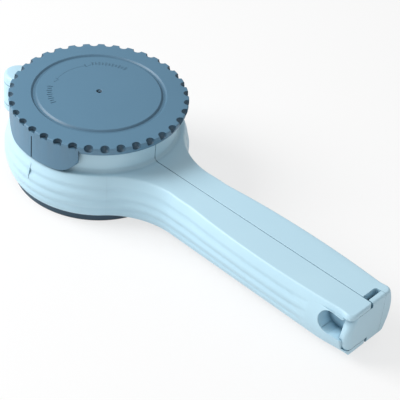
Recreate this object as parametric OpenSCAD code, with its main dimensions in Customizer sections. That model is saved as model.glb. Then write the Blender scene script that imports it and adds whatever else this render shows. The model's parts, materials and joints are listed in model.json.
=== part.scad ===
// Pour spout bag clip: two hinged jaws close round a spout and along a handle.
// Origin on the spout's axis, at the foot of the spout. +X runs along the handle, -Y is the front.

/* [Head] */
// Radius of the head at its shoulder edge
head_r = 39; // [37:0.5:44]
// Height of both jaws
jaw_h = 22; // [18:0.5:30]
// How far the spout's foot stands out below the jaws
foot_h = 4.5; // [2:0.5:10]
// How far the side wall swells out at mid height
wall_bulge = 2.8; // [1:0.1:4]
// Rounding of the wall's top and bottom edges
edge_r = 1.2; // [0.6:0.1:2]
// Thickness of the shoulder and of the handle's top and bottom walls
deck_t = 2; // [1.5:0.1:3]
// Gap left at the parting plane for the bag's film
parting_gap = 0.2; // [0.1:0.05:0.4]
// Bevel along the jaws' edges at that gap
seam_bevel = 0.2; // [0.1:0.05:0.4]

/* [Collar] */
// Height of the collar above the shoulder
collar_h = 11.1; // [9:0.1:16]
// Thickness of the collar
collar_wall = 2.4; // [1.8:0.1:3]
// Shoulder left bare outside the collar
shoulder_w = 3; // [2.5:0.1:5]
// Radius of the cove at the collar's foot
cove_r = 1.6; // [0.8:0.1:2]

/* [Handle] */
// Distance from the spout's axis to the end of the handle
handle_end = 158.5; // [140:0.5:200]
// Half width of the handle at its neck
neck_half_w = 11; // [9:0.1:14]
// Half width of the handle at its end
end_half_w = 12.3; // [10:0.1:15]
// Radius of the hollow curve from the head into the handle
neck_curve_r = 36; // [25:1:50]
// Thickness of the handle's side wall
side_wall = 2.2; // [1.6:0.1:3]
// Hollow bays along each half of the handle
bay_count = 4; // [2:1:6]
// Solid length between the head's edge and the first bay
bay_start = 3; // [2:0.5:8]
// Thickness of the ribs between the bays
rib_t = 1.6; // [1:0.1:2.5]
// Rounding of the upright corners at the handle's end
end_r = 3; // [2:0.1:4]

/* [Flutes] */
// Number of flutes along the side
flute_count = 3; // [1:1:3]
// Distance of the first flute below the shoulder
flute_first = 6.2; // [5:0.1:7]
// Distance from flute to flute
flute_pitch = 5.2; // [4.5:0.1:5.5]
// Width of a flute
flute_w = 4.4; // [2:0.1:4.5]
// Depth of a flute
flute_depth = 0.6; // [0.2:0.05:1]
// Plain length of handle between the flutes and the finger pocket
flute_margin = 6; // [3:0.5:15]
// Length over which a flute fades out
flute_fade = 8; // [4:0.5:15]

/* [Hinge] */
// Distance from the spout's axis to the hinge pin
hinge_x = 53.5; // [52:0.5:62]
// Outer radius of the hinge barrel
hinge_r = 7; // [5:0.25:8]
// How far the barrel's ends lie inside the jaws' height
hinge_drop = 1; // [0.5:0.25:3]
// Height of the front jaw's two knuckles
knuckle_h = 4.1; // [3:0.1:6]
// Gap between knuckles
knuckle_gap = 0.3; // [0.2:0.05:0.6]
// Rounding of the barrel's two ends
barrel_edge = 1.8; // [0.5:0.1:2.2]
// Radius of the hinge pin
pin_r = 1.75; // [1:0.05:2.5]
// Radial running clearance of the pin in the rear jaw
pin_run = 0.06; // [0.02:0.01:0.1]
// Radial clearance of the pin in the front jaw
pin_seat = 0.02; // [0.01:0.01:0.05]
// Plastic left above the blind end of the pin's hole
pin_cover = 1.5; // [1:0.1:2.5]

/* [Spout] */
// Wall of the spout's tube
spout_wall = 2.1; // [1.6:0.1:3]
// Thickness of the jaws round the tube at the shoulder edge
ring_wall = 1.35; // [1:0.05:2]
// Radial gap between tube and jaws for the film
film_gap = 0.3; // [0.2:0.05:0.5]
// Wall of the spout's neck
neck_wall = 2; // [1.6:0.1:3]
// Thickness of the lip that hooks over the collar
lip_t = 0.9; // [0.6:0.1:1.5]
// How far that lip reaches out over the collar
lip_w = 2; // [1:0.1:2.2]
// Width of the keys that stop the spout from turning
key_w = 3; // [2:0.1:5]
// How far those keys stand out
key_d = 0.9; // [0.5:0.1:1.4]

/* [Pour window] */
// Angle that the window spans
window_angle = 44; // [30:1:46]
// Height of the window
window_h = 7; // [5:0.1:7.5]
// Height of the window's sill above the shoulder
window_sill = 2; // [1.5:0.1:2.5]

/* [Cap] */
// How far the cap stands out beyond the shoulder's edge
cap_over = 1; // [0.5:0.1:3]
// Height of the cap's rim
rim_h = 4.2; // [3.5:0.1:7]
// Gap between the collar and the rim
rim_gap = 0.4; // [0.3:0.05:0.8]
// Thickness of the rim
rim_wall = 3.2; // [2.6:0.1:3.4]
// Upright band of the rim, below its top edge
rim_band = 1.7; // [1:0.1:2.5]
// How far the rim draws in below that band
rim_taper = 1.1; // [0.5:0.1:1.2]
// Rounding of the rim's top edge
rim_edge = 0.5; // [0.3:0.05:1]
// Rise of the cap's top from rim to centre
cap_dome = 1.7; // [0.5:0.1:3]
// Thickness of the cap's top
cap_t = 2.2; // [1.8:0.1:2.5]
// Grip notches round the rim
notch_count = 36; // [18:1:40]
// Radius of a grip notch
notch_r = 2; // [1:0.05:2.2]
// How far the notches' centres lie inside the rim's top edge
notch_in = 0.4; // [0.2:0.05:0.8]
// Distance of the ring groove from the cap's edge
groove_inset = 11.2; // [7:0.1:20]
// Width of the ring groove
groove_w = 2.6; // [1.5:0.1:4]
// Depth of the ring groove
groove_d = 0.7; // [0.3:0.05:1]
// Width of the groove's sloping walls
groove_slope = 0.8; // [0.2:0.05:1]
// Radius of the small dimple in the middle
dimple_r = 0.9; // [0.5:0.1:2]
// Depth of that dimple
dimple_d = 0.4; // [0.2:0.05:0.6]
// Running gap between the cap's plug and the spout's neck
plug_gap = 0.3; // [0.2:0.05:0.5]
// Wall of the plug
plug_wall = 2; // [1.5:0.1:3]
// Height of the plug below the spout's lip
plug_h = 2.3; // [2:0.1:2.6]
// Height of the snap bead round the plug
bead_h = 0.7; // [0.5:0.1:0.9]
// How far the bead stands out from the plug
bead_d = 0.45; // [0.35:0.05:0.6]

/* [Apron] */
// Angle that the apron spans
apron_angle = 67.2; // [60:0.4:72]
// Wall of the apron
apron_wall = 1.9; // [1.6:0.1:2.2]
// How far the apron's face lies behind the rim's
apron_inset = 0.15; // [0.1:0.05:0.5]
// Gap between the apron and the shoulder
apron_gap = 0.5; // [0.3:0.05:1]
// Radius of the apron's lower corners
apron_corner_r = 10; // [4:0.5:10]
// Width of the index line on the apron
index_w = 0.6; // [0.4:0.1:1]
// Depth of the index line
index_d = 0.3; // [0.2:0.05:0.5]
// Length of the index rib on the head, below that line
index_rib = 7.5; // [4:0.5:10]
// How far the index rib stands out
index_rise = 0.15; // [0.1:0.05:0.3]

/* [Latch] */
// Radius of the finger pocket's round end
pocket_r = 5.75; // [5:0.25:6.5]
// Length of the finger pocket
pocket_len = 15; // [12:0.5:20]
// Height of the pocket's centre above the jaws' underside
pocket_rise = 12.2; // [11:0.1:13]
// Distance from the parting plane to the pocket's floor
pocket_floor = 7.5; // [6:0.1:9]
// Thickness of the latch tongue
tongue_t = 2.6; // [2:0.1:3]
// Clearance round the latch tongue
tongue_fit = 0.2; // [0.15:0.05:0.3]
// How far the tongue's hook reaches behind the front jaw's end wall
hook = 1.3; // [0.8:0.1:1.6]
// Width of the slot that frees the tongue
slot_w = 2.8; // [2:0.1:4]
// Length of that slot
slot_len = 8; // [5:0.1:9]
// Rounding of the slot's inner corner
slot_r = 1.4; // [0.5:0.1:2]
// Gap at the tongue's root, where the real moulding bends
root_gap = 0.06; // [0.05:0.01:0.2]
// Rounding of the front jaw's lips beside the parting plane
lip_corner_r = 2; // [1:0.1:2.5]
// Thickness of the front jaw's lip above the tongue
top_lip = 2.1; // [1.5:0.1:3]
// Thickness of the front jaw's lip below the tongue
bottom_lip = 3; // [2:0.1:4]

/* [Seals] */
// Thickness of the clamp blade on the front jaw
blade_t = 1.6; // [1:0.1:2.5]
// How far the blade reaches into the rear jaw
blade_reach = 1.5; // [0.8:0.1:2.5]
// Clearance between blade and channel for the film
blade_gap = 0.4; // [0.3:0.05:0.8]
// Thickness of the soft strip at the bottom of the channel
strip_t = 0.8; // [0.5:0.1:1.5]
// Height of the soft band round the spout
band_h = 4; // [2:0.5:8]
// Depth of the band's seat in the spout
band_seat = 0.9; // [0.5:0.1:1.2]
// How far the band stands out of the spout
band_proud = 0.15; // [0.05:0.05:0.15]
// Thickness of the ring under the cap
ring_t = 1.4; // [1:0.1:1.6]
// Width of the ring under the cap
ring_w = 3; // [2:0.1:3.5]

/* [Hidden] */
$fn = 96;
jaw_z0 = foot_h;
jaw_z1 = foot_h + jaw_h;
jaw_zm = foot_h + jaw_h / 2;
collar_r = head_r - shoulder_w;
collar_z = jaw_z1 + collar_h;
spout_r = head_r - ring_wall - film_gap;
spout_z = jaw_z1 - deck_t - film_gap;
bore_r = head_r - ring_wall;
throat_r = spout_r - spout_wall;
throat_len = spout_z - deck_t;
neck_bore_r = collar_r - collar_wall;
neck_r = neck_bore_r - film_gap;
neck_in_r = neck_r - neck_wall;
lip_z = collar_z + lip_t;
rim_z = collar_z + rim_gap;
cap_z = rim_z + rim_h;
cap_r = head_r + cap_over;
groove_r = cap_r - groove_inset;
plug_r = neck_in_r - plug_gap;
plug_z = lip_z - plug_h;
wall_steps = 28;
arc_steps = 4;
// Slope of the swelling wall where it meets the decks
edge_lean = atan(4 * wall_bulge / jaw_h);
over = 1;
// Neighbouring solids run on into each other by lap and stand proud by a hair, so that none only touch
lap = 0.6;
hair = 0.02;

// Plan of the front edge: head circle, hollow curve and handle line, which leans out by lean_angle.
lean_angle = atan((end_half_w - neck_half_w) / (handle_end - head_r));
axis_half_w = neck_half_w - neck_curve_r * tan(lean_angle);
span_r = head_r + neck_curve_r;
lead = axis_half_w * sin(lean_angle);
tangent_s = -lead + sqrt(lead * lead + span_r * span_r - neck_curve_r * neck_curve_r
    - axis_half_w * axis_half_w - 2 * axis_half_w * neck_curve_r * cos(lean_angle));
curve_x = tangent_s * cos(lean_angle) - neck_curve_r * sin(lean_angle);
curve_y = -axis_half_w - tangent_s * sin(lean_angle) - neck_curve_r * cos(lean_angle);
head_turn = 180 + atan2(curve_y, curve_x);
foot_x = curve_x - curve_y * tan(lean_angle);
foot_to_edge = -curve_y / cos(lean_angle) - neck_curve_r;

pocket_x = handle_end - pocket_len + pocket_r;
pocket_z = jaw_z0 + pocket_rise;
flute_x = pocket_x - pocket_r - flute_margin;
bay_x0 = head_r + bay_start;
bay_x1 = pocket_x - pocket_r - side_wall;
bay_pitch = (bay_x1 - bay_x0) / bay_count;
end_wall_x = handle_end - tongue_t - tongue_fit;
slot_x0 = end_wall_x + tongue_fit - slot_w;
channel_d = blade_reach + blade_gap + strip_t;
channel_t = blade_t + 2 * blade_gap;
window_half = collar_r * sin(window_angle / 2);
barrel_z0 = jaw_z0 + hinge_drop;
barrel_z1 = jaw_z1 - hinge_drop;
band_z = jaw_zm;

light_blue = "#b4d3e4";
dusty_blue = "#5f88a0";
deep_blue = "#3d5f74";
silicone = "#dfe6ea";
steel = "#b9bec3";

function handle_y(x) = (x - foot_x) * tan(lean_angle) + foot_to_edge / cos(lean_angle);
function swell(z) = wall_bulge * (1 - pow((z - jaw_zm) / (jaw_h / 2), 2));
function flute_z(i) = jaw_z1 - flute_first - i * flute_pitch;
function dip(d) = abs(d) < flute_w / 2 ? (1 + cos(360 * d / flute_w)) / 2 : 0;
function flutes(z) = flute_depth * max([for (i = [0 : flute_count - 1]) dip(z - flute_z(i))]);
function cap_top(r) = cap_z + cap_dome * (1 - pow(r / cap_r, 2));

// Side wall as points [outward, height], from the bottom edge to the top edge
function side_wall_points(fluted) =
    let (edge_z = jaw_h / 2 + hair - edge_r * (1 - sin(edge_lean)))
    let (edge_u = swell(jaw_zm + edge_z) - edge_r * cos(edge_lean))
    concat(
        [for (i = [arc_steps : -1 : 1])
            let (a = edge_lean + (90 - edge_lean) * i / arc_steps)
            [edge_u + edge_r * cos(a), jaw_z0 - hair + edge_r * (1 - sin(a))]],
        [for (i = [0 : wall_steps])
            let (z = jaw_zm - edge_z + 2 * edge_z * i / wall_steps)
            [swell(z) - (fluted ? flutes(z) : 0), z]],
        [for (i = [1 : arc_steps])
            let (a = edge_lean + (90 - edge_lean) * i / arc_steps)
            [edge_u + edge_r * cos(a), jaw_z1 + hair - edge_r * (1 - sin(a))]]);

// Front half of the head ring, up to where the hollow curve has begun
module head_sector() {
    rotate([0, 0, -180])
        rotate_extrude(angle = head_turn + atan(lap / head_r))
            polygon(concat([[neck_bore_r, jaw_z0 - hair]],
                [for (p = side_wall_points(true)) [head_r + p[0], p[1]]],
                [[neck_bore_r, jaw_z1 + hair]]));
}

// Solid between head and handle, hollowed by the curve that is turned about its centre
module neck_block() {
    edge = side_wall_points(true);
    top = edge[len(edge) - 1];
    hollow_r = neck_curve_r + 2 * hair;
    difference() {
        translate([0, 0, jaw_z0 - hair])
            linear_extrude(jaw_h + 2 * hair)
                polygon([[0, 0], [curve_x, curve_y], [foot_x, 0]]);
        translate([curve_x, curve_y, 0])
            rotate_extrude()
                polygon(concat([[0, jaw_z0 - over], [hollow_r - edge[0][0], jaw_z0 - over]],
                    [for (p = edge) [hollow_r - p[0], p[1]]],
                    [[hollow_r - top[0], jaw_z1 + over], [0, jaw_z1 + over]]));
    }
}

// Anything drawn in the handle's cross-section, pulled along the leaning handle line
module along_handle(from_x, to_x) {
    translate([foot_x, 0, 0])
        rotate([0, 0, -lean_angle])
            translate([from_x - foot_x, 0, 0])
                rotate([90, 0, 90])
                    linear_extrude(to_x - from_x)
                        children();
}

module handle_section(fluted) {
    polygon(concat([[end_half_w, jaw_z0 - hair]],
        [for (p = side_wall_points(fluted)) [-foot_to_edge - p[0], p[1]]],
        [[end_half_w, jaw_z1 + hair]]));
}

// Strip of plain wall at the flutes' height, thinner than the wall itself
module runout_section() {
    z0 = flute_z(flute_count - 1) - flute_w / 2 - edge_r / 4;
    z1 = flute_z(0) + flute_w / 2 + edge_r / 4;
    strip = [for (i = [0 : wall_steps])
        let (z = z0 + (z1 - z0) * i / wall_steps)
        [-foot_to_edge - swell(z) + 2 * hair, z]];
    polygon(concat(strip,
        [for (i = [wall_steps : -1 : 0]) [strip[i][0] + side_wall - flute_depth, strip[i][1]]]));
}

// That strip leans in under the flutes, so that they run out
module flute_runout() {
    fade_turn = atan(flute_depth / flute_fade);
    translate([foot_x, 0, 0])
        rotate([0, 0, -lean_angle])
            translate([flute_x - foot_x, -foot_to_edge, 0])
                rotate([0, 0, -fade_turn])
                    translate([-flute_fade, foot_to_edge, 0])
                        rotate([90, 0, 90])
                            linear_extrude(flute_fade + edge_r / 4)
                                runout_section();
}

// Hollow bay between two heights, as deep as the side wall allows
module bay_section(z0, z1) {
    inner = -foot_to_edge + side_wall + flute_depth;
    polygon(concat([[end_half_w, z0]],
        [for (i = [0 : arc_steps])
            let (z = z0 + (z1 - z0) * i / arc_steps)
            [inner - swell(z), z]],
        [[end_half_w, z1]]));
}

module bays(spine_t) {
    for (i = [0 : bay_count - 1])
        along_handle(bay_x0 + i * bay_pitch, bay_x0 + (i + 1) * bay_pitch - rib_t) {
            bay_section(jaw_z0 + deck_t, jaw_zm - spine_t / 2);
            bay_section(jaw_zm + spine_t / 2, jaw_z1 - deck_t);
        }
}

module half_collar() {
    rotate([0, 0, -180])
        rotate_extrude(angle = 180)
            polygon(concat([[neck_bore_r, jaw_z1 - deck_t], [collar_r + cove_r, jaw_z1 - deck_t]],
                [for (i = [0 : arc_steps])
                    let (a = 90 * i / arc_steps)
                    [collar_r + cove_r * (1 - sin(a)), jaw_z1 - hair + cove_r * (1 - cos(a))]],
                [[collar_r, collar_z], [neck_bore_r, collar_z]]));
}

// Front half of a jaw, before its own hinge, latch and window
module jaw_half(spine_t) {
    difference() {
        union() {
            intersection() {
                union() {
                    head_sector();
                    neck_block();
                    along_handle(foot_x - lap, flute_x) handle_section(true);
                    along_handle(flute_x, handle_end + over) handle_section(false);
                    flute_runout();
                }
                translate([-2 * head_r, -2 * head_r, jaw_z0])
                    cube([2 * head_r + handle_end, 4 * head_r, jaw_h]);
            }
            half_collar();
        }
        translate([0, 0, jaw_z0 - over])
            cylinder(r = bore_r, h = jaw_h - deck_t + over);
        translate([0, 0, jaw_z0 - over])
            cylinder(r = neck_bore_r, h = jaw_h + collar_h + 2 * over);
        bays(spine_t);
        translate([-head_r * 2, -parting_gap / 2, -over])
            cube([handle_end + head_r * 3, head_r * 2, cap_z]);
        seam_bevels();
        end_waste();
    }
}

// Upright section of a knuckle, [outward, height], with its outer ends rounded
function knuckle_points(z0, z1, r, inner) = concat(
    [[inner, z0]],
    z0 > barrel_z0 ? [[r, z0]] : [for (i = [0 : arc_steps])
        let (a = 90 * i / arc_steps)
        [r - barrel_edge * (1 - sin(a)), z0 + barrel_edge * (1 - cos(a))]],
    z1 < barrel_z1 ? [[r, z1]] : [for (i = [arc_steps : -1 : 0])
        let (a = 90 * i / arc_steps)
        [r - barrel_edge * (1 - sin(a)), z1 - barrel_edge * (1 - cos(a))]],
    [[inner, z1]]);

// Hinge knuckle with the web that joins it to the front half of the head
module knuckle(z0, z1) {
    translate([-hinge_x, 0, 0])
        rotate_extrude()
            polygon(knuckle_points(z0, z1, hinge_r, 0));
    translate([-hinge_x, 0, 0])
        rotate([90, 0, 90])
            linear_extrude(hinge_x - bore_r - ring_wall / 2)
                polygon([for (p = knuckle_points(z0, z1, hinge_r - hair, parting_gap / 2)) [-p[0], p[1]]]);
}

module finger_pocket() {
    translate([pocket_x, -pocket_floor, pocket_z])
        rotate([90, 0, 0])
            cylinder(r = pocket_r, h = head_r);
    translate([pocket_x, -pocket_floor - head_r, pocket_z - pocket_r])
        cube([pocket_len, head_r, 2 * pocket_r]);
}

// What is left outside a round bar of radius r that runs up from the origin
module corner_waste(r, length) {
    difference() {
        translate([0, 0, -over])
            cube([r + over, r + over, length + 2 * over]);
        translate([0, 0, -2 * over])
            cylinder(r = r, h = length + 4 * over);
    }
}

// Waste outside the rounded edges at the handle's end
module end_waste() {
    side_y = handle_y(handle_end) + wall_bulge - end_r + hair;
    for (side = [0, 1])
        mirror([0, side, 0])
            translate([handle_end - end_r + hair, side_y, jaw_z0])
                corner_waste(end_r, jaw_h);
    for (flip = [0, 1])
        translate([0, 0, jaw_zm])
            mirror([0, 0, flip])
                translate([handle_end - edge_r + hair, head_r, jaw_h / 2 - edge_r + hair])
                    rotate([90, 0, 0])
                        corner_waste(edge_r, 2 * head_r);
}

// Square bars on edge, which bevel both jaws along the parting plane
module seam_bevels() {
    side = (2 * seam_bevel + parting_gap) / sqrt(2);
    for (z = [jaw_z0, jaw_z1])
        translate([collar_r, 0, z])
            rotate([45, 0, 0])
                translate([0, -side / 2, -side / 2])
                    cube([handle_end, side, side]);
    for (x = [-collar_r, collar_r])
        translate([x, 0, jaw_z1 - deck_t / 2])
            rotate([0, 0, 45])
                translate([-side / 2, -side / 2, 0])
                    cube([side, side, collar_h + deck_t]);
}

// Hollow behind the finger pocket's floor
module end_bay() {
    translate([bay_x1 + rib_t, -pocket_floor + side_wall, jaw_z0 + bottom_lip + deck_t])
        cube([end_wall_x - side_wall - bay_x1 - rib_t, pocket_floor,
            jaw_h - bottom_lip - top_lip - 2 * deck_t]);
}

// Window through collar and neck, with round ends
module pour_window() {
    translate([0, -neck_in_r / 2, jaw_z1 + window_sill + window_h / 2])
        rotate([90, 0, 0])
            linear_extrude(collar_r) {
                square([2 * window_half - window_h, window_h], center = true);
                for (side = [-1, 1])
                    translate([side * (window_half - window_h / 2), 0])
                        circle(d = window_h);
            }
}

// Keys on the spout's neck, and with room round them their seats in the front collar
module keys(room) {
    for (a = [-30, -150])
        rotate([0, 0, a])
            translate([neck_r - neck_wall / 2, -key_w / 2 - room, spout_z - room])
                cube([neck_wall / 2 + key_d + room, key_w + 2 * room, deck_t + collar_h / 3 + 2 * room]);
}

// Thin rib on the head that the apron's index line points at
module head_index() {
    z1 = jaw_z1 - 2 * edge_r;
    z0 = z1 - index_rib;
    turn = index_w / head_r * 180 / PI;
    rotate([0, 0, -90 - turn / 2])
        rotate_extrude(angle = turn)
            polygon(concat([[head_r - ring_wall / 2, z0]],
                [for (i = [0 : 2 * arc_steps])
                    let (z = z0 + (z1 - z0) * i / (2 * arc_steps))
                    [head_r + swell(z) + index_rise, z]],
                [[head_r - ring_wall / 2, z1]]));
}

module front_jaw() {
    color(light_blue)
        difference() {
            union() {
                jaw_half(blade_t + 2 * blade_gap);
                head_index();
                knuckle(barrel_z0, barrel_z0 + knuckle_h);
                knuckle(barrel_z1 - knuckle_h, barrel_z1);
                translate([bay_x0, -deck_t, jaw_zm - blade_t / 2])
                    cube([bay_x1 - bay_x0, deck_t + blade_reach, blade_t]);
            }
            translate([-hinge_x, 0, barrel_z0 - over])
                cylinder(r = pin_r + pin_seat, h = barrel_z1 - barrel_z0 - pin_cover + over);
            finger_pocket();
            end_bay();
            translate([end_wall_x, -head_r, jaw_z0 + bottom_lip])
                cube([head_r, head_r, jaw_h - bottom_lip - top_lip]);
            translate([handle_end - lip_corner_r + hair, -lip_corner_r - parting_gap / 2 + hair, jaw_z0])
                corner_waste(lip_corner_r, jaw_h);
            pour_window();
            keys(film_gap / 2);
        }
}

// Slot that frees the latch tongue, and the room for the tongue's plate
module latch_slot() {
    depth = slot_len + root_gap;
    difference() {
        translate([slot_x0, -over, jaw_z0 - over])
            cube([head_r, depth + over, jaw_h + 2 * over]);
        translate([slot_x0 + slot_r - hair, depth - slot_r + hair, jaw_z0 - over])
            mirror([1, 0, 0])
                corner_waste(slot_r, jaw_h + 2 * over);
    }
}

module rear_jaw() {
    spine_t = channel_t + 2 * deck_t;
    color(light_blue)
        difference() {
            union() {
                mirror([0, 1, 0]) jaw_half(spine_t);
                mirror([0, 1, 0])
                    knuckle(barrel_z0 + knuckle_h + knuckle_gap, barrel_z1 - knuckle_h - knuckle_gap);
            }
            translate([-hinge_x, 0, barrel_z0 - over])
                cylinder(r = pin_r + pin_run, h = barrel_z1 - barrel_z0 + 2 * over);
            translate([bay_x0 - over, 0, jaw_zm - channel_t / 2])
                cube([bay_x1 - bay_x0 + 2 * over, channel_d + parting_gap / 2, channel_t]);
            latch_slot();
            mirror([0, 1, 0]) end_bay();
        }
}

// Full slice of the plain handle, both halves
module handle_slice(from_x, to_x) {
    for (side = [0, 1])
        mirror([0, side, 0])
            intersection() {
                along_handle(from_x - over, to_x + over) handle_section(false);
                translate([from_x, -head_r, jaw_z0])
                    cube([to_x - from_x, head_r, jaw_h]);
            }
}

module latch_tongue() {
    plate_x = handle_end - tongue_t;
    hook_x = end_wall_x - hook;
    color(light_blue)
        difference() {
            intersection() {
                handle_slice(hook_x, handle_end);
                union() {
                    translate([plate_x, -head_r, jaw_z0 + bottom_lip + tongue_fit])
                        cube([tongue_t, head_r + tongue_fit, jaw_h - bottom_lip - top_lip - 2 * tongue_fit]);
                    translate([plate_x, tongue_fit, jaw_z0])
                        cube([tongue_t, slot_len - tongue_fit, jaw_h]);
                    translate([hook_x, -head_r, pocket_z - pocket_r + tongue_fit])
                        cube([handle_end - hook_x, head_r - pocket_floor - tongue_fit,
                            2 * (pocket_r - tongue_fit)]);
                }
            }
            end_waste();
        }
}

module hinge_pin() {
    color(steel)
        translate([-hinge_x, 0, barrel_z0])
            cylinder(r = pin_r, h = barrel_z1 - barrel_z0 - pin_cover);
}

module pour_spout() {
    bead_z = plug_z + plug_gap / 2;
    groove_in = plug_r + bead_d + plug_gap;
    color(deep_blue)
        union() {
            difference() {
                rotate_extrude()
                    polygon([[throat_r, 0], [spout_r - edge_r / 2, 0], [spout_r, edge_r / 2],
                        [spout_r, band_z - band_h / 2], [spout_r - band_seat, band_z - band_h / 2],
                        [spout_r - band_seat, band_z + band_h / 2], [spout_r, band_z + band_h / 2],
                        [spout_r, spout_z], [neck_r, spout_z], [neck_r, collar_z],
                        [neck_r + lip_w, collar_z], [neck_r + lip_w, lip_z], [neck_in_r, lip_z],
                        [neck_in_r, plug_z + bead_h + plug_gap],
                        [groove_in, plug_z + bead_h + plug_gap], [groove_in, plug_z - plug_gap],
                        [neck_in_r, plug_z - plug_gap], [neck_in_r, throat_len], [throat_r, throat_len]]);
                pour_window();
            }
            difference() {
                keys(0);
                cylinder(r = neck_r - neck_wall / 4, h = cap_z);
            }
        }
}

// Front outline of the apron: straight sides and two round lower corners
module apron_outline(half_w, z0) {
    corner_x = half_w - apron_corner_r;
    corner = [for (i = [0 : 2 * arc_steps])
        let (a = 90 * i / (2 * arc_steps))
        [corner_x + apron_corner_r * sin(a), z0 + apron_corner_r * (1 - cos(a))]];
    polygon(concat(corner, [[half_w, cap_z], [-half_w, cap_z]],
        [for (i = [2 * arc_steps : -1 : 0]) [-corner[i][0], corner[i][1]]]));
}

module apron() {
    z0 = jaw_z1 + apron_gap;
    z1 = cap_z - rim_band + apron_inset;
    apron_r = cap_r - apron_inset;
    difference() {
        intersection() {
            rotate([0, 0, -90 - apron_angle / 2])
                rotate_extrude(angle = apron_angle)
                    translate([apron_r - apron_wall, z0])
                        square([apron_wall, z1 - z0]);
            rotate([90, 0, 0])
                linear_extrude(cap_r + over)
                    apron_outline(cap_r * sin(apron_angle / 2), z0);
        }
        translate([-index_w / 2, -apron_r - over, z0 - over])
            cube([index_w, over + index_d, rim_z + index_w - z0 + over]);
    }
}

module twist_cap() {
    groove_in = groove_r - groove_w / 2;
    groove_out = groove_r + groove_w / 2;
    groove_z = cap_top(groove_r) - groove_d;
    crown_r = cap_r - rim_edge;
    color(dusty_blue)
        union() {
            difference() {
                rotate_extrude()
                    polygon(concat(
                        [[0, cap_top(0) - dimple_d], [dimple_r / 2, cap_top(0) - dimple_d]],
                        [for (i = [0 : arc_steps])
                            let (r = dimple_r + (groove_in - dimple_r) * i / arc_steps)
                            [r, cap_top(r)]],
                        [[groove_in + groove_slope, groove_z], [groove_out - groove_slope, groove_z]],
                        [for (i = [0 : arc_steps])
                            let (r = groove_out + (crown_r - groove_out) * i / arc_steps)
                            [r, cap_top(r)]],
                        [for (i = [1 : arc_steps])
                            let (a = 90 * i / arc_steps)
                            [crown_r + rim_edge * sin(a), cap_top(crown_r) - rim_edge * (1 - cos(a))]],
                        [[cap_r, cap_z - rim_band], [cap_r - rim_taper, rim_z], [cap_r - rim_wall, rim_z],
                            [cap_r - rim_wall, cap_z - cap_t], [plug_r, cap_z - cap_t],
                            [plug_r, plug_z + bead_h], [plug_r + bead_d, plug_z + bead_h / 2],
                            [plug_r, plug_z], [plug_r - plug_wall, plug_z],
                            [plug_r - plug_wall, cap_z - cap_t], [0, cap_z + cap_dome - cap_t]]));
                for (i = [0 : notch_count - 1])
                    rotate([0, 0, 360 * i / notch_count])
                        translate([cap_r - notch_in, 0, cap_z - notch_in])
                            sphere(r = notch_r);
            }
            apron();
        }
}

module cap_seal() {
    color(silicone)
        rotate_extrude()
            translate([plug_r + plug_gap / 2, cap_z - cap_t - ring_t])
                square([ring_w, ring_t]);
}

module clamp_strip() {
    color(silicone)
        translate([bay_x0, channel_d + parting_gap / 2 - strip_t, jaw_zm - channel_t / 2])
            cube([bay_x1 - bay_x0, strip_t, channel_t]);
}

module spout_band() {
    color(silicone)
        rotate_extrude()
            translate([spout_r - band_seat, band_z - band_h / 2])
                square([band_seat + band_proud, band_h]);
}

front_jaw();
rear_jaw();
latch_tongue();
hinge_pin();
pour_spout();
twist_cap();
cap_seal();
clamp_strip();
spout_band();
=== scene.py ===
import json
import math
import bmesh
import bpy
from mathutils import Matrix, Vector


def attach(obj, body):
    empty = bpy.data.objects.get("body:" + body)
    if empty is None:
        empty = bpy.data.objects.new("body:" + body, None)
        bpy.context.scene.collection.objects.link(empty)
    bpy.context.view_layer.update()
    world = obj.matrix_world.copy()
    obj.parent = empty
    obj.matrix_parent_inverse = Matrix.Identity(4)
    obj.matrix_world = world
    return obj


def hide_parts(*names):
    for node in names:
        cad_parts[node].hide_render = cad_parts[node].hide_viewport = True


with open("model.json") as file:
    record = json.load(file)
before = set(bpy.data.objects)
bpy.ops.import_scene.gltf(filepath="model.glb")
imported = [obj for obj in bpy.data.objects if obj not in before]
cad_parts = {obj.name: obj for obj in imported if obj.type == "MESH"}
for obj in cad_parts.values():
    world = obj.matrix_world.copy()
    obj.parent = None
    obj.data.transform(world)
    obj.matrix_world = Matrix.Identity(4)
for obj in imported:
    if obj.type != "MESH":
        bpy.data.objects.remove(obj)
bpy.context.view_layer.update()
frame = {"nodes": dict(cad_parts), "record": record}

mm = 0.001  # the frame is in metres, the sizes below in millimetres
print("frame loaded:", ", ".join(sorted(frame["nodes"])))


def hexToLinear(code):
    parts = [int(code[i:i + 2], 16) / 255 for i in (1, 3, 5)]
    return [c / 12.92 if c <= 0.04045 else ((c + 0.055) / 1.055) ** 2.4 for c in parts] + [1.0]


def addNode(tree, kind, settings=None, links=None):
    node = tree.nodes.new(kind)
    for key, value in (settings or {}).items():
        if isinstance(key, int) or key in node.inputs:  # a socket by number or name, or else a setting
            node.inputs[key].default_value = value
        else:
            setattr(node, key, value)
    for key, source in (links or {}).items():
        tree.links.new(source, node.inputs[key])
    return node


def newMaterial(name):
    material = bpy.data.materials.new(name)
    material.use_nodes = True
    material.node_tree.nodes.clear()
    return material, material.node_tree


def addObject(name, data):
    thing = bpy.data.objects.new(name, data)
    bpy.context.scene.collection.objects.link(thing)
    return thing


firstColour, secondColour, mixedColour = 6, 7, 2  # a Mix node's sockets for colours: two in, one out


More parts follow.
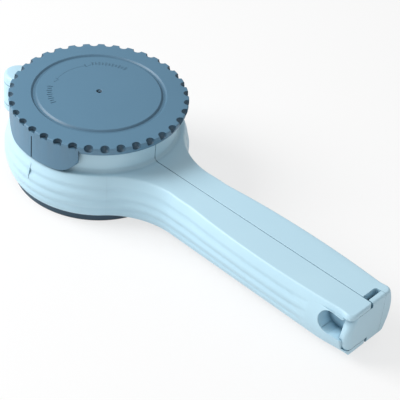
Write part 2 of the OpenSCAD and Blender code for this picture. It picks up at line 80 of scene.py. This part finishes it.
# ABS, injection moulded in a spark-eroded steel mould: an even colour with a satin, very finely grained skin.
# The melt's flow leaves faint clouds, shade is painted as a darker colour into narrow hollows, gaps and flutes,
# and no moulded edge is quite sharp.
absSkin = {"ior": 1.54, "flowMm": 25, "flowDetail": 2.0,
           "grainMm": 0.5, "grainDetail": 1.0, "grainStrength": 0.5,  # drawn coarser than the real 0.1 mm, to show
           "paintedShadeSamples": 8, "edgeSamples": 6}
bodyAbs = {"name": "lightBlueMouldedAbs", "colour": "#BEE0EF", "deepColour": "#B7DAEB",
           "roughness": (0.40, 0.50), "grainHeightMm": 0.004, "edgeMm": 0.25,
           "paintedShadeColour": "#3C7089", "hollow": (0.22, 0.95), "paintedShadeReachMm": 2.9}
capAbs = {"name": "dustyBlueMouldedAbs", "colour": "#5C849E", "deepColour": "#567E98",
          "roughness": (0.42, 0.52), "grainHeightMm": 0.005, "edgeMm": 0.2,
          "paintedShadeColour": "#04202F", "hollow": (0.45, 0.92), "paintedShadeReachMm": 4}
# Partly painted shade: the pour spout is coloured far darker than the cap, to the tone its foot shows in the shade
# under the head
spoutAbs = {"name": "deepBlueMouldedAbs", "colour": "#254A60", "deepColour": "#1F4358",
            "roughness": (0.38, 0.48), "grainHeightMm": 0.004, "edgeMm": 0.25,
            "paintedShadeColour": "#0E2635", "hollow": (0.30, 0.80), "paintedShadeReachMm": 4}


def mouldedAbs(look):
    material, tree = newMaterial(look["name"])
    place = addNode(tree, "ShaderNodeTexCoord").outputs["Object"]
    flow = addNode(tree, "ShaderNodeTexNoise",
                   {"Scale": 1 / (absSkin["flowMm"] * mm), "Detail": absSkin["flowDetail"]}, {"Vector": place})
    grain = addNode(tree, "ShaderNodeTexNoise",
                    {"Scale": 1 / (absSkin["grainMm"] * mm), "Detail": absSkin["grainDetail"]}, {"Vector": place})
    colour = addNode(tree, "ShaderNodeMix",
                     {"data_type": "RGBA", firstColour: hexToLinear(look["colour"]),
                      secondColour: hexToLinear(look["deepColour"])},
                     {0: flow.outputs["Fac"]})
    # Painted shade: ambient occlusion mixes the colour towards a dark blue in narrow hollows, gaps, notches, the
    # finger pocket and the flutes
    hollow = addNode(tree, "ShaderNodeAmbientOcclusion",
                     {"samples": absSkin["paintedShadeSamples"], "Distance": look["paintedShadeReachMm"] * mm})
    free = addNode(tree, "ShaderNodeMapRange",
                   {"From Min": look["hollow"][0], "From Max": look["hollow"][1]},
                   {"Value": hollow.outputs["AO"]})  # 0 deep in a hollow, 1 on an open wall
    shade = addNode(tree, "ShaderNodeMix",
                    {"data_type": "RGBA", firstColour: hexToLinear(look["paintedShadeColour"])},
                    {0: free.outputs["Result"], secondColour: colour.outputs[mixedColour]})
    gloss = addNode(tree, "ShaderNodeMapRange",
                    {"To Min": look["roughness"][0], "To Max": look["roughness"][1]},
                    {"Value": flow.outputs["Fac"]})
    edge = addNode(tree, "ShaderNodeBevel", {"samples": absSkin["edgeSamples"], "Radius": look["edgeMm"] * mm})
    bump = addNode(tree, "ShaderNodeBump",
                   {"Strength": absSkin["grainStrength"], "Distance": look["grainHeightMm"] * mm},
                   {"Height": grain.outputs["Fac"], "Normal": edge.outputs["Normal"]})
    shader = addNode(tree, "ShaderNodeBsdfPrincipled", {"IOR": absSkin["ior"]},
                     {"Base Color": shade.outputs[mixedColour], "Roughness": gloss.outputs["Result"],
                      "Normal": bump.outputs["Normal"]})
    addNode(tree, "ShaderNodeOutputMaterial", links={"Surface": shader.outputs["BSDF"]})
    return material


# Stainless steel wire, drawn and cut: bright, with fine lines along the pin
pinSteel = {"name": "drawnStainlessSteel", "colour": "#C4C6C8", "roughness": (0.22, 0.38),
            "drawMm": 0.15, "drawDetail": 2.0, "drawScale": (1, 1, 0.02),  # the lines are stretched along the pin
            "lineStrength": 0.3, "lineHeightMm": 0.005}


def drawnSteel(look):
    material, tree = newMaterial(look["name"])
    place = addNode(tree, "ShaderNodeTexCoord").outputs["Object"]
    along = addNode(tree, "ShaderNodeMapping", {"Scale": look["drawScale"]}, {"Vector": place})
    lines = addNode(tree, "ShaderNodeTexNoise",
                    {"Scale": 1 / (look["drawMm"] * mm), "Detail": look["drawDetail"]},
                    {"Vector": along.outputs["Vector"]})
    gloss = addNode(tree, "ShaderNodeMapRange",
                    {"To Min": look["roughness"][0], "To Max": look["roughness"][1]},
                    {"Value": lines.outputs["Fac"]})
    bump = addNode(tree, "ShaderNodeBump",
                   {"Strength": look["lineStrength"], "Distance": look["lineHeightMm"] * mm},
                   {"Height": lines.outputs["Fac"]})
    shader = addNode(tree, "ShaderNodeBsdfPrincipled",
                     {"Base Color": hexToLinear(look["colour"]), "Metallic": 1.0},
                     {"Roughness": gloss.outputs["Result"], "Normal": bump.outputs["Normal"]})
    addNode(tree, "ShaderNodeOutputMaterial", links={"Surface": shader.outputs["BSDF"]})
    return material


# Silicone rubber, compression moulded: milky and dull, with a faint bloom
sealSilicone = {"name": "mouldedSilicone", "colour": "#DFE6EA", "bloom": "#EEF2F4", "ior": 1.41,
                "roughness": (0.5, 0.62), "bloomMm": 6, "bloomDetail": 3.0,
                "milkiness": 0.1, "milkMm": 1.0}  # how much light goes in, and how far


def mouldedSilicone(look):
    material, tree = newMaterial(look["name"])
    place = addNode(tree, "ShaderNodeTexCoord").outputs["Object"]
    bloom = addNode(tree, "ShaderNodeTexNoise",
                    {"Scale": 1 / (look["bloomMm"] * mm), "Detail": look["bloomDetail"]}, {"Vector": place})
    colour = addNode(tree, "ShaderNodeMix",
                     {"data_type": "RGBA", firstColour: hexToLinear(look["colour"]),
                      secondColour: hexToLinear(look["bloom"])},
                     {0: bloom.outputs["Fac"]})
    gloss = addNode(tree, "ShaderNodeMapRange",
                    {"To Min": look["roughness"][0], "To Max": look["roughness"][1]},
                    {"Value": bloom.outputs["Fac"]})
    shader = addNode(tree, "ShaderNodeBsdfPrincipled",
                     {"IOR": look["ior"], "Subsurface Weight": look["milkiness"],
                      "Subsurface Scale": look["milkMm"] * mm},
                     {"Base Color": colour.outputs[mixedColour], "Roughness": gloss.outputs["Result"]})
    addNode(tree, "ShaderNodeOutputMaterial", links={"Surface": shader.outputs["BSDF"]})
    return material


finishes = {
    "light_blue_plastic": mouldedAbs(bodyAbs),
    "dusty_blue_plastic": mouldedAbs(capAbs),
    "deep_blue_plastic": mouldedAbs(spoutAbs),
    "pin_steel": drawnSteel(pinSteel),
    "silicone": mouldedSilicone(sealSilicone),
}
for entry in frame["record"]["subparts"]:
    node = frame["nodes"][entry["node"]]
    node.data.materials.clear()
    node.data.materials.append(finishes[entry["material_slot"]])
print("materials set on", len(frame["nodes"]), "nodes")


# The moulded skins read as smooth: strips of a curve that meet at less than this angle shade as one
skin = {"sharpAngle": 26, "weldMm": 0.0005}


def smoothSkin():
    group = bpy.data.node_groups.new("smoothSkin", "GeometryNodeTree")
    group.interface.new_socket("Geometry", in_out="INPUT", socket_type="NodeSocketGeometry")
    group.interface.new_socket("Geometry", in_out="OUTPUT", socket_type="NodeSocketGeometry")
    start = addNode(group, "NodeGroupInput")
    weld = addNode(group, "GeometryNodeMergeByDistance", {"Distance": skin["weldMm"] * mm},
                   {"Geometry": start.outputs[0]})
    bare = addNode(group, "GeometryNodeRemoveAttribute", {"Name": "custom_normal"},
                   {"Geometry": weld.outputs[0]})
    angle = addNode(group, "GeometryNodeInputMeshEdgeAngle")
    soft = addNode(group, "FunctionNodeCompare",
                   {"data_type": "FLOAT", "operation": "LESS_THAN", "B": math.radians(skin["sharpAngle"])},
                   {"A": angle.outputs["Unsigned Angle"]})
    faces = addNode(group, "GeometryNodeSetShadeSmooth", {"domain": "FACE", "Shade Smooth": True},
                    {"Geometry": bare.outputs[0]})
    edges = addNode(group, "GeometryNodeSetShadeSmooth", {"domain": "EDGE"},
                    {"Geometry": faces.outputs[0], "Shade Smooth": soft.outputs["Result"]})
    addNode(group, "NodeGroupOutput", links={0: edges.outputs[0]})
    return group


skinGroup = smoothSkin()


def addSkin(piece):
    modifier = piece.modifiers.new("smoothSkin", "NODES")
    modifier.node_group = skinGroup


for node in frame["nodes"].values():
    addSkin(node)
print("skins smoothed")


# The handle's top edge is bowed in plan over a straight foot, and the finger pocket lies high on the front wall.
# The rounding at the end follows the swell of the wall, the front wall's foot runs in towards the end, and the
# tongue's front edge is an arc behind the jaw's lips. The solids are plainer there, so bent copies are shown.
handleForm = {
    "deckZ": (4.5, 26.5), "bulge": 2.8,  # the wall's foot and top edge, and its swell at mid height
    "skinY": (4, 10),  # the spine in the middle stays, the outer skins follow in full
    "bellyX": 110, "bellySpread": 42, "wider": 2.0, "bowFrom": 55, "bowFull": 80,
    "pocketX": (137, 143), "pocketZ": (7.7, 10.9, 22.5, 24.2), "pocketLift": 1.7,
    "endX": 158.5, "endHalf": 12.3, "endRound": 3.0, "sharpRise": 0.3,  # rises are parts of the wall's height
    "footX": (142, 158.5), "footIn": 1.5, "footRise": 0.4,
    "cutsX": (56, 158, 3), "endCutsY": (3.4, 15.0, 0.4), "endCutsZ": (5.2, 25.8, 0.8),  # first, last, step
    "cutWeldMm": 0.001,
}
tongueForm = {"reach": 13.3, "middleZ": 12.6, "hollow": 3.3, "halfZ": 8, "most": 5.0, "fromY": (3, 15.1)}
roundFromX = handleForm["endX"] - 2 * handleForm["endRound"]  # the rounding of the end starts here


def clamped(t):
    return min(max(t, 0), 1)


def ramp(value, low, high):
    t = clamped((value - low) / (high - low))
    return t * t * (3 - 2 * t)


def swellAt(rise):
    return 4 * handleForm["bulge"] * rise * (1 - rise)  # a parabola, highest at half the height


def roundedEnd(y, side):
    r = handleForm["endRound"]
    return math.sqrt(r * r - min(max(abs(y) - side + r, 0), r) ** 2)


def tonguePull(y, z, side):
    fromMiddle = (z - tongueForm["middleZ"]) / tongueForm["halfZ"]
    edge = tongueForm["reach"] - tongueForm["hollow"] * fromMiddle ** 2
    return min(side - edge, tongueForm["most"]) * ramp(-y, *tongueForm["fromY"])


def bentPoint(x, y, z, isTongue):
    form = handleForm
    low, high = form["deckZ"]
    rise = clamped((z - low) / (high - low))
    side = form["endHalf"] + swellAt(rise)
    drawnIn = roundedEnd(y, form["endHalf"] + form["bulge"]) - roundedEnd(y, side)
    if y < 0:
        drawnIn *= ramp(rise, 0, form["sharpRise"])  # the lower lip's corner stays sharp
    x -= drawnIn * ramp(x, roundFromX, form["endX"])
    lipLow, floorLow, floorHigh, lipHigh = form["pocketZ"]
    lift = form["pocketLift"] * ramp(x, *form["pocketX"]) * ramp(-y, *form["skinY"])
    lift *= clamped(min((z - lipLow) / (floorLow - lipLow), (lipHigh - z) / (lipHigh - floorHigh)))
    swell = swellAt((z + lift - low) / (high - low)) - swellAt(rise)  # a lifted point keeps to the wall's swell
    bow = form["wider"] * (1 - ((x - form["bellyX"]) / form["bellySpread"]) ** 2)
    bow *= ramp(x, form["bowFrom"], form["bowFull"])
    out = (bow * rise + swell) * ramp(abs(y), *form["skinY"])
    footIn = form["footIn"] * ramp(x, *form["footX"]) * max(1 - rise / form["footRise"], 0)
    y += footIn * ramp(-y, *form["skinY"])
    y += tonguePull(y, z, side - footIn) if isTongue else 0
    return x, y + math.copysign(out, y), z + lift


def spaced(start, stop, step):
    return [start + i * step for i in range(int((stop - start) / step) + 1)]


def cutAcross(work, place, normal, faces):
    parts = {part for face in faces for part in (face, *face.edges, *face.verts)}
    bmesh.ops.bisect_plane(work, geom=list(parts), dist=handleForm["cutWeldMm"] * mm,
                           plane_co=place, plane_no=normal)


def showCopy(name, mesh, node, body):
    piece = addObject(name, mesh)
    addSkin(piece)
    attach(piece, body)
    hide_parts(node)


def bentCopy(name, node, body):
    mesh = frame["nodes"][node].data.copy()
    mesh.name = name
    work = bmesh.new()
    work.from_mesh(mesh)
    bmesh.ops.remove_doubles(work, verts=work.verts, dist=skin["weldMm"] * mm)
    for x in range(*handleForm["cutsX"]):  # cross cuts, so that the long strips can bend
        cutAcross(work, (x * mm, 0, 0), (1, 0, 0), work.faces[:])
    cuts = [(0, way * y, 0) for y in spaced(*handleForm["endCutsY"]) for way in (-1, 1)]
    cuts += [(0, 0, z) for z in spaced(*handleForm["endCutsZ"])]
    for cut in cuts:  # finer ones at the end, for its rounding and the tongue's arc
        endFaces = [face for face in work.faces if face.calc_center_median().x > roundFromX * mm]
        cutAcross(work, Vector(cut) * mm, Vector(cut).normalized(), endFaces)
    for vert in work.verts:
        if vert.co.x > handleForm["bowFrom"] * mm:
            vert.co = Vector(bentPoint(*(vert.co / mm), node == "latch_tongue")) * mm
    work.to_mesh(mesh)
    work.free()
    showCopy(name, mesh, node, body)


bentCopy("frontJawSkin", "front_jaw", "front")
bentCopy("rearJawSkin", "rear_jaw", "rear")
bentCopy("latchTongueSkin", "latch_tongue", "latch")
print("handle bowed")


# The gate's dimple in the middle of the cap is wider and deeper than the solid's, and its stub stands in it
gateMark = {"reach": 1.2, "fromZ": 43.0, "wider": 1.7, "floorReach": 0.7, "deeper": 0.35,
            "stubR": (0.48, 0.40), "stubZ": (43.0, 43.85), "stubSides": 24}


def dressOnCap(piece):
    piece.data.materials.append(finishes["dusty_blue_plastic"])
    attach(piece, "cap")


def widenGate():
    mesh = frame["nodes"]["twist_cap"].data.copy()
    mesh.name = "twistCapSkin"
    for vert in mesh.vertices:
        r = math.hypot(vert.co.x, vert.co.y)
        if vert.co.z > gateMark["fromZ"] * mm and r < gateMark["reach"] * mm:
            vert.co.x *= gateMark["wider"]
            vert.co.y *= gateMark["wider"]
            vert.co.z -= gateMark["deeper"] * mm if r < gateMark["floorReach"] * mm else 0
    showCopy("twistCapSkin", mesh, "twist_cap", "cap")


def makeGateStub():
    low, high = gateMark["stubZ"]
    lowRadius, highRadius = gateMark["stubR"]
    work = bmesh.new()
    bmesh.ops.create_cone(work, cap_ends=True, segments=gateMark["stubSides"],
                          radius1=lowRadius * mm, radius2=highRadius * mm, depth=(high - low) * mm,
                          matrix=Matrix.Translation((0, 0, (low + high) / 2 * mm)))
    mesh = bpy.data.meshes.new("gateStub")
    work.to_mesh(mesh)
    work.free()
    piece = addObject("gateStub", mesh)
    addSkin(piece)
    dressOnCap(piece)


widenGate()
makeGateStub()
print("gate widened on the cap")


# Moulded turn mark on the cap: an arc with two arrow heads, between two rows of short bars
turnMark = {"rise": 0.06, "sink": 0.15, "softEdge": 0.08, "softSteps": 2,  # a low relief, rooted in the crown
            "radius": 21.0, "width": 0.5, "from": 154, "to": 201, "arcSteps": 40,
            "headLength": 2.6, "headWidth": 2.2, "headSteps": 6, "tipHalf": 0.05,
            "barRadius": 22.0, "barRows": [(104, 144), (218, 250)], "barStep": 4,
            "barLength": (2.4, 1.6), "barWidth": 0.5}
capShape = {"radius": 40.0, "rimTop": 42.2, "dome": 1.7}  # the crown of the twist cap


def crown(r):
    return capShape["rimTop"] + capShape["dome"] * (1 - (r / capShape["radius"]) ** 2)


def reliefOnCap(name, inner, outer):
    # inner and outer are rows of (radius, angle) points; the relief stands up from the crown between them
    verts, faces = [], []
    for row in (inner, outer):
        for lift in (-turnMark["sink"], turnMark["rise"]):
            for r, a in row:
                x, y = r * math.cos(math.radians(a)), r * math.sin(math.radians(a))
                verts.append(Vector((x, y, crown(r) + lift)) * mm)
    n = len(inner)
    lowIn, topIn, lowOut, topOut = 0, n, 2 * n, 3 * n
    for i in range(n - 1):
        for a, b in ((topIn, topOut), (lowOut, lowIn), (lowIn, topIn), (topOut, lowOut)):
            faces.append((a + i, a + i + 1, b + i + 1, b + i))
    for i in (0, n - 1):
        faces.append((lowIn + i, topIn + i, topOut + i, lowOut + i))
    mesh = bpy.data.meshes.new(name)
    mesh.from_pydata(verts, [], faces)
    mesh.update()
    piece = addObject(name, mesh)
    rounding = piece.modifiers.new("softEdges", "BEVEL")
    rounding.width = turnMark["softEdge"] * mm
    rounding.segments = turnMark["softSteps"]
    dressOnCap(piece)


def makeTurnMark():
    radius, half = turnMark["radius"], turnMark["width"] / 2
    start, end, steps = turnMark["from"], turnMark["to"], turnMark["arcSteps"]
    angles = [start + (end - start) * i / steps for i in range(steps + 1)]
    reliefOnCap("turnArrowArc", [(radius - half, a) for a in angles], [(radius + half, a) for a in angles])
    reach, steps = math.degrees(turnMark["headLength"] / radius), turnMark["headSteps"]
    for name, root, way in (("turnArrowOpen", start, -1), ("turnArrowClose", end, 1)):
        head = [(turnMark["headWidth"] / 2 * (1 - i / steps) + turnMark["tipHalf"], root + way * reach * i / steps)
                for i in range(steps + 1)][::way]  # from the smaller angle to the larger
        reliefOnCap(name, [(radius - w, a) for w, a in head], [(radius + w, a) for w, a in head])
    radius = turnMark["barRadius"]
    wide = math.degrees(turnMark["barWidth"] / 2 / radius)
    count = 0
    for start, end in turnMark["barRows"]:
        for i in range((end - start) // turnMark["barStep"] + 1):
            a = start + i * turnMark["barStep"]
            half = turnMark["barLength"][i % 2] / 2  # long and short in turn
            reliefOnCap("turnBar%02d" % count, [(radius - half, a - wide), (radius - half, a + wide)],
                        [(radius + half, a - wide), (radius + half, a + wide)])
            count += 1


makeTurnMark()
print("turn mark moulded on the cap")


# White studio sweep: the floor keeps the shadow, and what the camera sees of it is lifted towards white
studio = {"floorMm": 3000, "floorColour": "#E8E8E8", "seenColour": "#8C8C8C", "lift": 0.70,
          "footMm": 36, "footEdgeMm": 1, "worldStrength": 0.35, "aim": (40, 0, 15),
          "key": {"at": (-600, -490, 640), "sizeMm": 600, "watts": 11.4},
          "fill": {"at": (620, -300, 520), "sizeMm": 700, "watts": 1.0},
          "top": {"at": (80, 320, 820), "sizeMm": 800, "watts": 0.4}}


# Paper, rolled matt: even white with no shine. Inside the spout's foot it stays dark to the camera and lets the
# world's light into the throat, and from below it is clear, so that the underside can be seen.
def rolledPaper():
    material, tree = newMaterial("whitePaperSweep")
    rays = addNode(tree, "ShaderNodeLightPath")
    direct = addNode(tree, "ShaderNodeMath", {"operation": "MAXIMUM"},
                     {0: rays.outputs["Is Camera Ray"], 1: rays.outputs["Is Glossy Ray"]})
    seen = addNode(tree, "ShaderNodeMath", {"operation": "MAXIMUM"},
                   {0: direct.outputs[0], 1: rays.outputs["Is Transmission Ray"]})
    ground = addNode(tree, "ShaderNodeNewGeometry")
    fromSpout = addNode(tree, "ShaderNodeVectorMath", {"operation": "LENGTH"}, {0: ground.outputs["Position"]})
    under = addNode(tree, "ShaderNodeMapRange",
                    {"From Min": studio["footMm"] * mm, "From Max": (studio["footMm"] + studio["footEdgeMm"]) * mm,
                     "To Min": 1.0, "To Max": 0.0},
                    {"Value": fromSpout.outputs["Value"]})  # 1 inside the spout's foot
    free = addNode(tree, "ShaderNodeMath", {"operation": "SUBTRACT"},
                   {0: seen.outputs[0], 1: under.outputs["Result"]})
    lift = addNode(tree, "ShaderNodeMath", {"operation": "MULTIPLY", "use_clamp": True, 1: studio["lift"]},
                   {0: free.outputs[0]})
    inside = addNode(tree, "ShaderNodeMath", {"operation": "SUBTRACT", "use_clamp": True},
                     {0: under.outputs["Result"], 1: rays.outputs["Is Camera Ray"]})
    seeThrough = addNode(tree, "ShaderNodeMath", {"operation": "MAXIMUM"},
                         {0: inside.outputs[0], 1: ground.outputs["Backfacing"]})
    tint = addNode(tree, "ShaderNodeMix",
                   {"data_type": "RGBA", firstColour: hexToLinear(studio["floorColour"]),
                    secondColour: hexToLinear(studio["seenColour"])},
                   {0: seen.outputs[0]})
    paper = addNode(tree, "ShaderNodeBsdfDiffuse", links={"Color": tint.outputs[mixedColour]})
    glow = addNode(tree, "ShaderNodeEmission", links={"Strength": lift.outputs[0]})
    both = addNode(tree, "ShaderNodeAddShader", links={0: paper.outputs[0], 1: glow.outputs[0]})
    clear = addNode(tree, "ShaderNodeBsdfTransparent")
    sheet = addNode(tree, "ShaderNodeMixShader",
                    links={0: seeThrough.outputs[0], 1: both.outputs[0], 2: clear.outputs[0]})
    addNode(tree, "ShaderNodeOutputMaterial", links={"Surface": sheet.outputs[0]})
    return material


def makeFloor():
    half = studio["floorMm"] / 2 * mm
    corners = [(-half, -half, 0), (half, -half, 0), (half, half, 0), (-half, half, 0)]
    mesh = bpy.data.meshes.new("floor")
    mesh.from_pydata(corners, [], [(0, 1, 2, 3)])
    mesh.materials.append(rolledPaper())
    floor = addObject("floor", mesh)


def makeWorld():
    world = bpy.data.worlds.new("whiteStudio")
    world.use_nodes = True
    tree = world.node_tree
    tree.nodes.clear()
    rays = addNode(tree, "ShaderNodeLightPath")
    level = addNode(tree, "ShaderNodeMapRange", {"To Min": studio["worldStrength"], "To Max": 1.0},
                    {"Value": rays.outputs["Is Camera Ray"]})  # plain white to the camera
    sky = addNode(tree, "ShaderNodeBackground", {"Color": (1, 1, 1, 1)}, {"Strength": level.outputs[0]})
    addNode(tree, "ShaderNodeOutputWorld", links={"Surface": sky.outputs[0]})
    bpy.context.scene.world = world


def makeLamps():
    aim = Vector(studio["aim"]) * mm
    for name in ("key", "fill", "top"):
        lamp = bpy.data.lights.new(name, "AREA")
        lamp.size = studio[name]["sizeMm"] * mm
        lamp.energy = studio[name]["watts"]
        holder = addObject(name, lamp)
        holder.location = Vector(studio[name]["at"]) * mm
        holder.rotation_euler = (aim - holder.location).to_track_quat("-Z", "Y").to_euler()


makeFloor()
makeWorld()
makeLamps()
print("studio lit")


# The photograph's viewpoint: the middle of the cap's rim falls on aimPixel of a 400 pixel frame
viewpoint = {"azimuth": 39.89, "elevation": 39.27, "roll": 5.63, "distanceMm": 667.5, "focalPixels": 1508.0,
             "aimPixel": (99.2, 94.0), "framePixels": 400, "aimMm": (0, 0, 42.2), "sensorMm": 36, "nearMm": 10}


def makeCamera():
    a, e, r = (math.radians(viewpoint[k]) for k in ("azimuth", "elevation", "roll"))
    back = Vector((math.sin(a) * math.cos(e), -math.cos(a) * math.cos(e), math.sin(e)))
    level = Vector((math.cos(a), math.sin(a), 0))
    upright = back.cross(level)
    right = level * math.cos(r) + upright * math.sin(r)
    up = upright * math.cos(r) - level * math.sin(r)
    middle = viewpoint["framePixels"] / 2
    perPixel = viewpoint["distanceMm"] / viewpoint["focalPixels"]
    across, down = viewpoint["aimPixel"]
    place = Vector(viewpoint["aimMm"]) + viewpoint["distanceMm"] * back
    place -= (across - middle) * perPixel * right + (middle - down) * perPixel * up
    lens = bpy.data.cameras.new("camera")
    lens.sensor_width = viewpoint["sensorMm"]
    lens.lens = viewpoint["focalPixels"] * viewpoint["sensorMm"] / viewpoint["framePixels"]
    lens.clip_start = viewpoint["nearMm"] * mm
    holder = addObject("camera", lens)
    turn = Matrix((right, up, back)).transposed().to_4x4()
    holder.matrix_world = Matrix.Translation(place * mm) @ turn
    bpy.context.scene.camera = holder


makeCamera()
bpy.context.scene.view_settings.view_transform = "Standard"
print("camera set")

bpy.context.view_layer.update()
